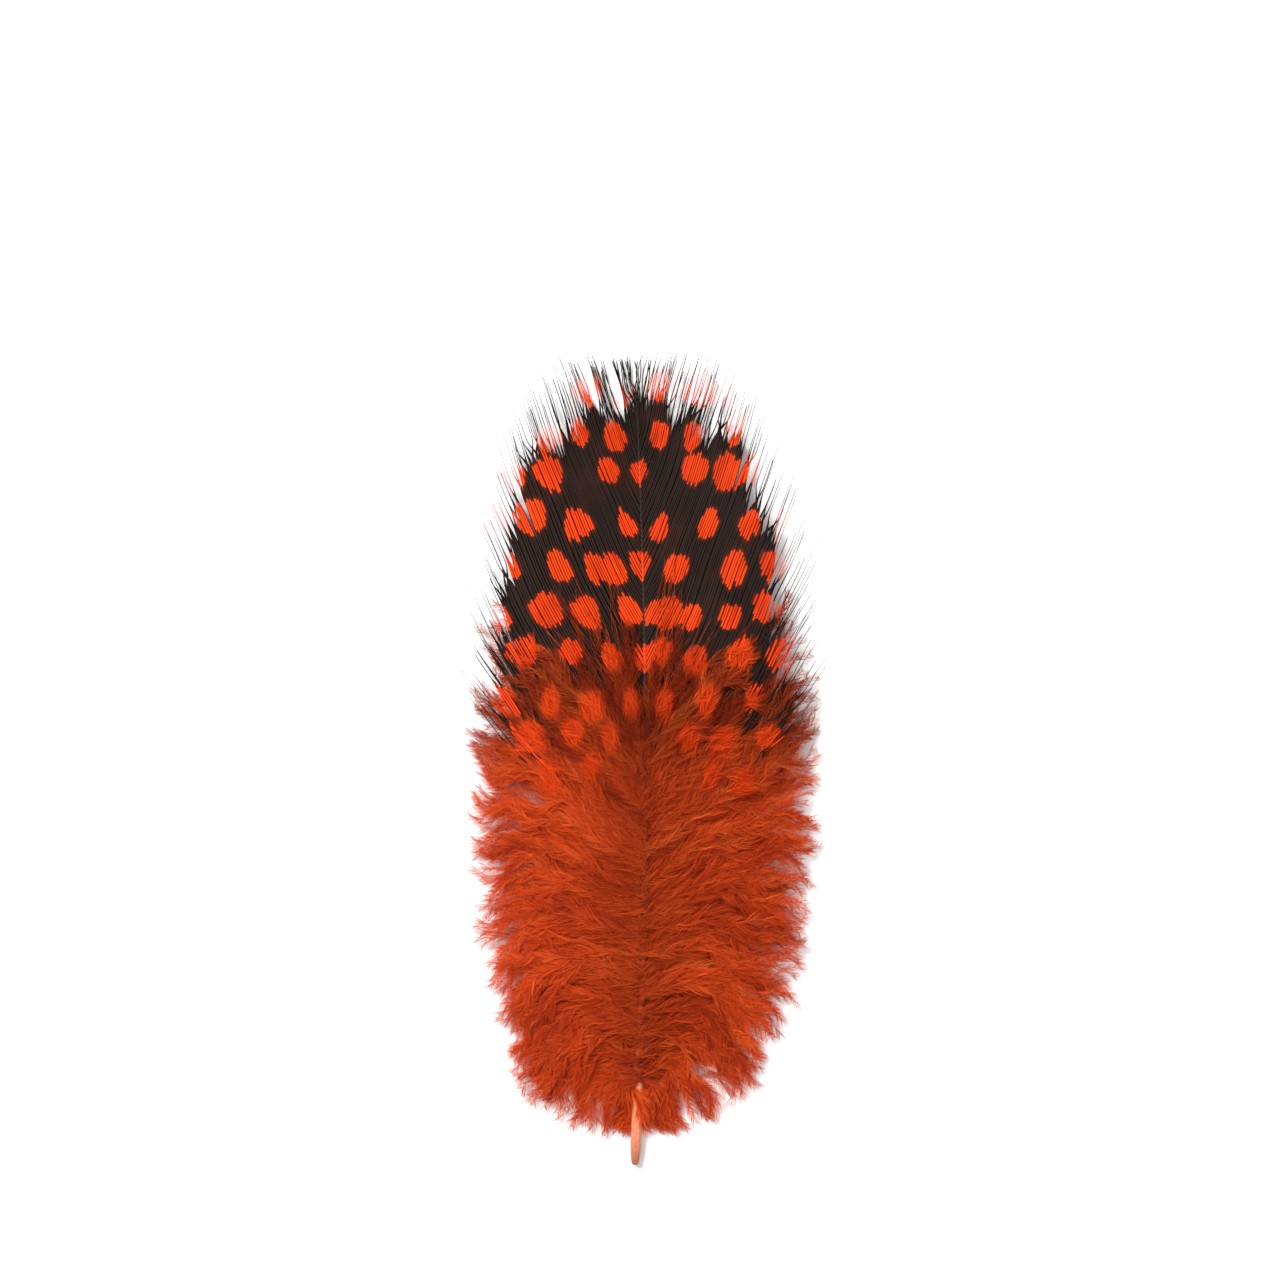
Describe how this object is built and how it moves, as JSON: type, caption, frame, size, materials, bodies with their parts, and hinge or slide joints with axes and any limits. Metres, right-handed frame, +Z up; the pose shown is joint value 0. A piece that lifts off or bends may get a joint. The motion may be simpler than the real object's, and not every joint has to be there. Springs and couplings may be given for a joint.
{
  "type": "guinea fowl feather",
  "caption": "Dyed orange guinea fowl body feather: a bare quill and arched shaft, a black round-spotted vane, a fluffy downy base and an afterfeather, lying face up.",
  "frame": {"origin": "on the surface that the feather lies on, under the middle of its bounding box", "axes": "+Y runs from the quill to the tip, +Z is up out of the feather's outer face, +X is to the feather's right seen from above"},
  "size_m": [0.0474, 0.11, 0.0088],
  "materials": {
    "quill": "translucent dyed keratin, satin",
    "vane": "closed barbs, near black with orange spots, faint sheen",
    "down": "soft loose down, dyed rust orange, matt"
  },
  "bodies": {
    "root": {"shaft": "quill", "left_vane": "vane", "right_vane": "vane", "left_down": "down", "right_down": "down", "afterfeather": "down"}
  },
  "joints": []
}
